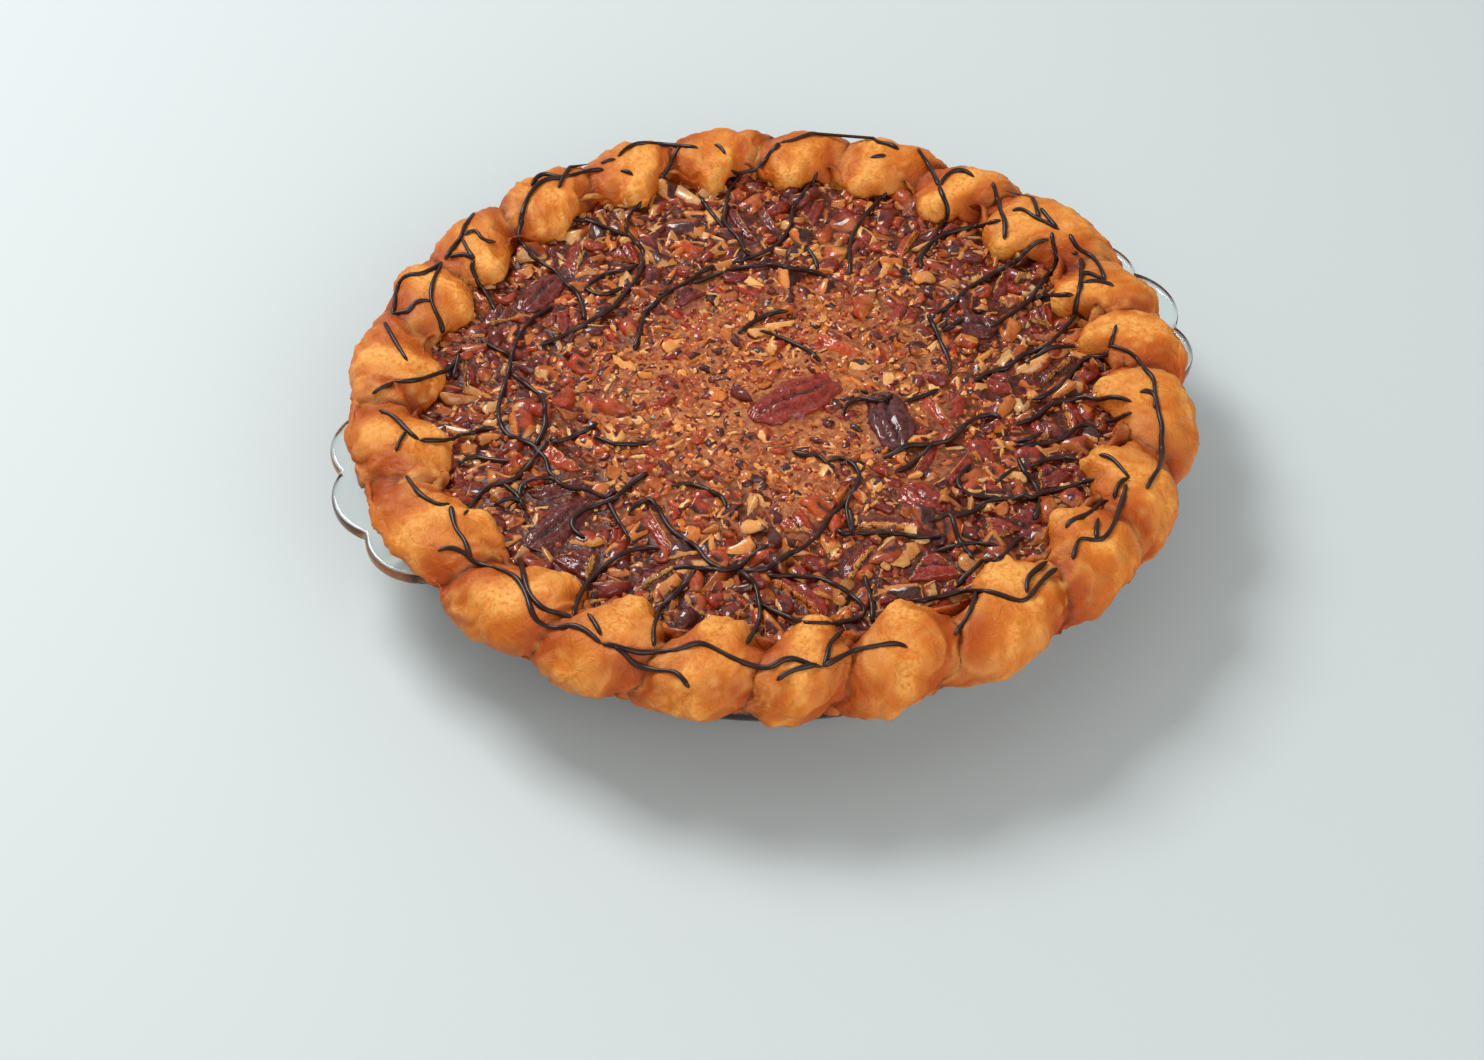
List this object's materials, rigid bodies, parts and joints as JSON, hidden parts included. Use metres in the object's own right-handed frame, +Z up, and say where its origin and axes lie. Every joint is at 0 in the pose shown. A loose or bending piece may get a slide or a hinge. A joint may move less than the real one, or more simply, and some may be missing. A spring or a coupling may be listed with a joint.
{
  "type": "pecan pie in a glass pie dish",
  "caption": "Round pecan pie with a pinched fluted crust and a nut filling under a chocolate drizzle, in its shallow clear glass dish with two scalloped ears.",
  "frame": {"origin": "centre of the dish's flat underside", "axes": "+Z up, +X from the centre through the middle of one of the dish's two ears"},
  "size_m": [0.276, 0.2617, 0.0479],
  "materials": {
    "clear_glass": "clear moulded glass with a faint green-blue tint in its thick edges",
    "baked_pastry": "golden brown baked pastry, satin, paler on the inner lobes and browner in the creases",
    "nut_filling": "dark brown baked syrup with chopped nuts, glossy and uneven",
    "pecan": "roasted pecan with red-brown skin and cream flesh, syrup glazed",
    "chocolate": "set dark chocolate, satin"
  },
  "bodies": {
    "root": {"glass_dish": "clear_glass", "crust": "baked_pastry", "filling": "nut_filling", "pecan_half_01": "pecan", "pecan_half_02": "pecan", "pecan_half_03": "pecan", "pecan_half_04": "pecan", "pecan_half_05": "pecan", "pecan_half_06": "pecan", "pecan_sliver_01": "pecan", "pecan_sliver_02": "pecan", "pecan_sliver_03": "pecan", "pecan_sliver_04": "pecan", "pecan_sliver_05": "pecan", "pecan_sliver_06": "pecan", "pecan_sliver_07": "pecan", "pecan_sliver_08": "pecan", "pecan_sliver_09": "pecan", "pecan_sliver_10": "pecan", "pecan_sliver_11": "pecan", "pecan_sliver_12": "pecan", "pecan_sliver_13": "pecan", "pecan_sliver_14": "pecan", "pecan_sliver_15": "pecan", "pecan_sliver_16": "pecan", "pecan_sliver_17": "pecan", "pecan_sliver_18": "pecan", "pecan_sliver_19": "pecan", "pecan_chunk_01": "pecan", "pecan_chunk_02": "pecan", "pecan_chunk_03": "pecan", "pecan_chunk_04": "pecan", "pecan_chunk_05": "pecan", "pecan_chunk_06": "pecan", "pecan_chunk_07": "pecan", "pecan_chunk_08": "pecan", "pecan_chunk_09": "pecan", "pecan_chunk_10": "pecan", "pecan_chunk_11": "pecan", "pecan_chunk_12": "pecan", "pecan_chunk_13": "pecan", "pecan_chunk_14": "pecan", "pecan_chunk_15": "pecan", "pecan_chunk_16": "pecan"}
  },
  "joints": []
}
